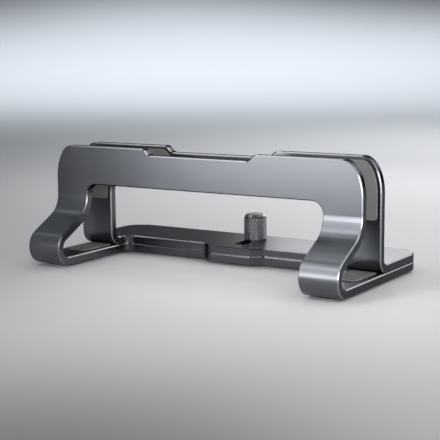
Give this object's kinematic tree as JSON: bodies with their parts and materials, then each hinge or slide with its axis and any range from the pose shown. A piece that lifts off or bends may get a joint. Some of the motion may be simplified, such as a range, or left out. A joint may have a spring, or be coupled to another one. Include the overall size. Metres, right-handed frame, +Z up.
{
  "type": "vertical laptop stand",
  "caption": "Vertical laptop stand: a fixed and a sliding folded aluminium bracket, silicone lined, clamped by a knurled thumbscrew that sets the slot width.",
  "frame": {"origin": "on the floor, under the middle of the stand's box", "axes": "X along the stand, from the left end to the right end seen from the front; Y from the front to the back; Z up"},
  "size_m": [0.2056, 0.1078, 0.0709],
  "materials": {
    "anodised_sheet": "bead-blasted and anodised space grey, satin",
    "knob_metal": "anodised dark grey over a diamond knurl",
    "stud_steel": "zinc-plated machine thread",
    "pad_silicone": "matt warm grey silicone",
    "foot_silicone": "matt black silicone"
  },
  "bodies": {
    "front": {"front_bracket": "anodised_sheet", "front_liner": "pad_silicone", "base_pad_left": "pad_silicone", "base_pad_right": "pad_silicone", "foot_pad_front_left": "foot_silicone", "foot_pad_front_right": "foot_silicone", "foot_pad_rear_left": "foot_silicone", "foot_pad_rear_right": "foot_silicone"},
    "rear": {"rear_bracket": "anodised_sheet", "rear_liner": "pad_silicone"},
    "stud": {"thumbscrew_stud": "stud_steel"},
    "knob": {"thumbscrew_knob": "knob_metal"}
  },
  "joints": [
    {"name": "rear_slide", "type": "slide", "parent": "front", "child": "rear", "axis": [0, 1, 0], "range_m": [0, 0.017]},
    {"name": "screw_lift", "type": "slide", "parent": "front", "child": "stud", "axis": [0, 0, 1], "range_m": [0, 0.002]},
    {"name": "knob_turn", "type": "hinge", "parent": "stud", "child": "knob", "pos_m": [0, 0.0385, 0.0112], "axis": [0, 0, 1], "range_deg": [0, 720]}
  ],
  "couplings": [
    {"joint": "screw_lift", "follows": "knob_turn", "m_per_rad": 0.00015915}
  ]
}
